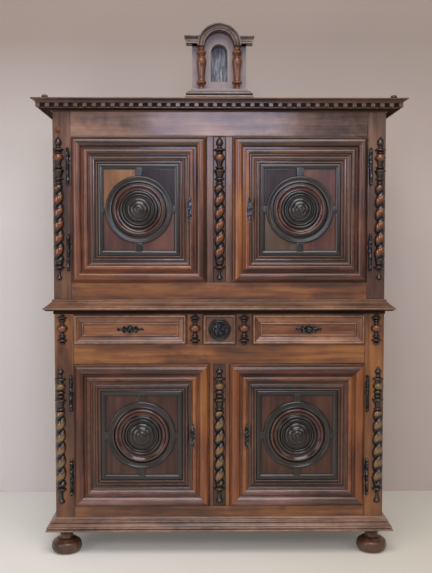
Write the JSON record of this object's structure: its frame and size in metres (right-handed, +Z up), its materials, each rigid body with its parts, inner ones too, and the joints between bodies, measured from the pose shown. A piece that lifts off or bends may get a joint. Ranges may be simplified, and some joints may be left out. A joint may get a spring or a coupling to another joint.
{
  "type": "court cupboard",
  "caption": "Two-stage carved walnut cupboard with panelled doors, drawers at the waist, twisted half columns, bun feet and a small arched niche on top.",
  "frame": {"origin": "on the floor, under the middle of the whole piece", "axes": "+X to the viewer's right, +Y to the back, +Z up; the doors face -Y"},
  "size_m": [1.622, 0.661, 2.367],
  "materials": {
    "walnut": "waxed, reddish brown",
    "golden_walnut": "waxed, golden brown",
    "turned_walnut": "waxed, worn on the high points",
    "ebonised_wood": "blackened and waxed",
    "niche_walnut": "greyed brown",
    "niche_paint": "pale grey old paint",
    "inner_oak": "plain, unpolished",
    "wrought_iron": "black forged iron"
  },
  "bodies": {
    "case": {"bun_feet": "turned_walnut", "base_moulding": "golden_walnut", "lower_stiles": "golden_walnut", "lower_rails": "golden_walnut", "lower_side_panels": "walnut", "lower_back": "inner_oak", "lower_boards": "inner_oak", "drawer_dividers": "golden_walnut", "waist_moulding": "golden_walnut", "upper_stiles": "walnut", "upper_rails": "walnut", "upper_side_panels": "walnut", "upper_back": "inner_oak", "upper_boards": "inner_oak", "cornice": "walnut", "cornice_dentils": "walnut", "cornice_knobs": "turned_walnut", "niche_base": "niche_walnut", "niche_board": "niche_paint", "niche_pediment": "niche_walnut", "niche_colonnettes": "turned_walnut", "upper_half_columns": "turned_walnut", "lower_half_columns": "turned_walnut", "drawer_spindles": "turned_walnut", "hinge_pintles": "wrought_iron"},
    "lower_left_door": {"lower_left_door_frame": "walnut", "lower_left_door_moulding": "ebonised_wood", "lower_left_door_panel": "walnut", "lower_left_door_boss": "turned_walnut", "lower_left_door_ironwork": "wrought_iron"},
    "lower_left_door_bolt": {"lower_left_door_bolt": "wrought_iron"},
    "lower_right_door": {"lower_right_door_frame": "walnut", "lower_right_door_moulding": "ebonised_wood", "lower_right_door_panel": "walnut", "lower_right_door_boss": "turned_walnut", "lower_right_door_ironwork": "wrought_iron"},
    "lower_right_door_bolt": {"lower_right_door_bolt": "wrought_iron"},
    "upper_left_door": {"upper_left_door_frame": "walnut", "upper_left_door_moulding": "ebonised_wood", "upper_left_door_panel": "walnut", "upper_left_door_boss": "turned_walnut", "upper_left_door_ironwork": "wrought_iron"},
    "upper_left_door_bolt": {"upper_left_door_bolt": "wrought_iron"},
    "upper_right_door": {"upper_right_door_frame": "walnut", "upper_right_door_moulding": "ebonised_wood", "upper_right_door_panel": "walnut", "upper_right_door_boss": "turned_walnut", "upper_right_door_ironwork": "wrought_iron"},
    "upper_right_door_bolt": {"upper_right_door_bolt": "wrought_iron"},
    "left_drawer": {"left_drawer_front": "golden_walnut", "left_drawer_box": "inner_oak", "left_drawer_pull": "wrought_iron"},
    "centre_drawer": {"centre_drawer_front": "golden_walnut", "centre_drawer_box": "inner_oak", "centre_drawer_lock": "wrought_iron", "centre_drawer_boss": "turned_walnut"},
    "right_drawer": {"right_drawer_front": "golden_walnut", "right_drawer_box": "inner_oak", "right_drawer_pull": "wrought_iron"},
    "centre_drawer_bolt": {"centre_drawer_bolt": "wrought_iron"}
  },
  "joints": [
    {"name": "lower_left_door_hinge", "type": "hinge", "parent": "case", "child": "lower_left_door", "pos_m": [-0.658, -0.2595, 0.5355], "axis": [0, 0, -1], "range_deg": [0, 105]},
    {"name": "lower_left_door_bolt_slide", "type": "slide", "parent": "lower_left_door", "child": "lower_left_door_bolt", "axis": [1, 0, 0], "range_m": [0, 0.022]},
    {"name": "lower_right_door_hinge", "type": "hinge", "parent": "case", "child": "lower_right_door", "pos_m": [0.658, -0.2595, 0.5355], "axis": [0, 0, 1], "range_deg": [0, 105]},
    {"name": "lower_right_door_bolt_slide", "type": "slide", "parent": "lower_right_door", "child": "lower_right_door_bolt", "axis": [-1, 0, 0], "range_m": [0, 0.022]},
    {"name": "upper_left_door_hinge", "type": "hinge", "parent": "case", "child": "upper_left_door", "pos_m": [-0.664, -0.2595, 1.537], "axis": [0, 0, -1], "range_deg": [0, 105]},
    {"name": "upper_left_door_bolt_slide", "type": "slide", "parent": "upper_left_door", "child": "upper_left_door_bolt", "axis": [1, 0, 0], "range_m": [0, 0.022]},
    {"name": "upper_right_door_hinge", "type": "hinge", "parent": "case", "child": "upper_right_door", "pos_m": [0.664, -0.2595, 1.537], "axis": [0, 0, 1], "range_deg": [0, 105]},
    {"name": "upper_right_door_bolt_slide", "type": "slide", "parent": "upper_right_door", "child": "upper_right_door_bolt", "axis": [-1, 0, 0], "range_m": [0, 0.022]},
    {"name": "left_drawer_slide", "type": "slide", "parent": "case", "child": "left_drawer", "axis": [0, -1, 0], "range_m": [0, 0.33]},
    {"name": "centre_drawer_slide", "type": "slide", "parent": "case", "child": "centre_drawer", "axis": [0, -1, 0], "range_m": [0, 0.33]},
    {"name": "right_drawer_slide", "type": "slide", "parent": "case", "child": "right_drawer", "axis": [0, -1, 0], "range_m": [0, 0.33]},
    {"name": "centre_drawer_bolt_slide", "type": "slide", "parent": "centre_drawer", "child": "centre_drawer_bolt", "axis": [0, 0, 1], "range_m": [0, 0.012]}
  ]
}
